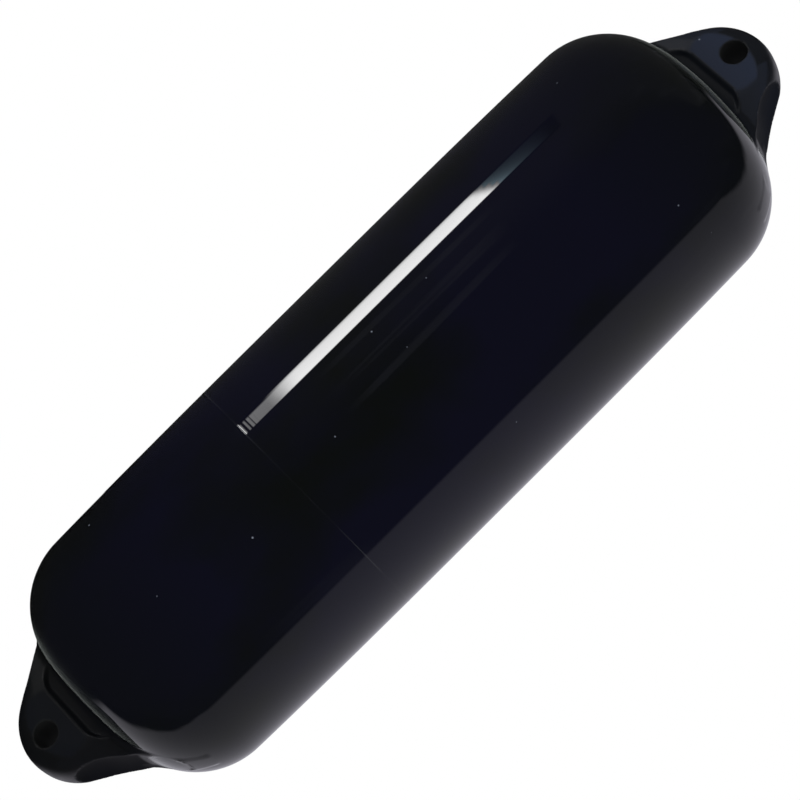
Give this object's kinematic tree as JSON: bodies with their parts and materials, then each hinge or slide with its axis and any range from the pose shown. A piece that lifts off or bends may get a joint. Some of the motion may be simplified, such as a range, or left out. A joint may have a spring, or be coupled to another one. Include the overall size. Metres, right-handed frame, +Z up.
{
  "type": "pneumatic fender",
  "caption": "Hollow inflatable boat fender: long cylinder of glossy navy-black vinyl with domed ends, a thick moulded rope eye at each end and a screw valve beside the upper eye.",
  "frame": {"origin": "centre of the upper eye's rope hole, where the fender hangs", "axes": "+Z up along the fender; Y along both rope holes, with the valve on the +Y side; X across the eyes"},
  "size_m": [0.1504, 0.1504, 0.526],
  "materials": {
    "navy_vinyl": "glossy soft vinyl",
    "black_nylon": "moulded nylon, satin",
    "black_rubber": "matt rubber"
  },
  "bodies": {
    "fender": {"fender_shell": "navy_vinyl", "valve_seat": "black_nylon"},
    "seal": {"plug_seal": "black_rubber"},
    "plug": {"valve_plug": "black_nylon"}
  },
  "joints": [
    {"name": "plug_lift", "type": "slide", "parent": "fender", "child": "seal", "axis": [0, 0, 1], "range_m": [0, 0.0075]},
    {"name": "plug_turn", "type": "hinge", "parent": "seal", "child": "plug", "pos_m": [0, 0.035, -0.024], "axis": [0, 0, 1], "range_deg": [0, 1800]}
  ],
  "couplings": [
    {"joint": "plug_turn", "follows": "plug_lift", "rad_per_m": 4188.8}
  ]
}
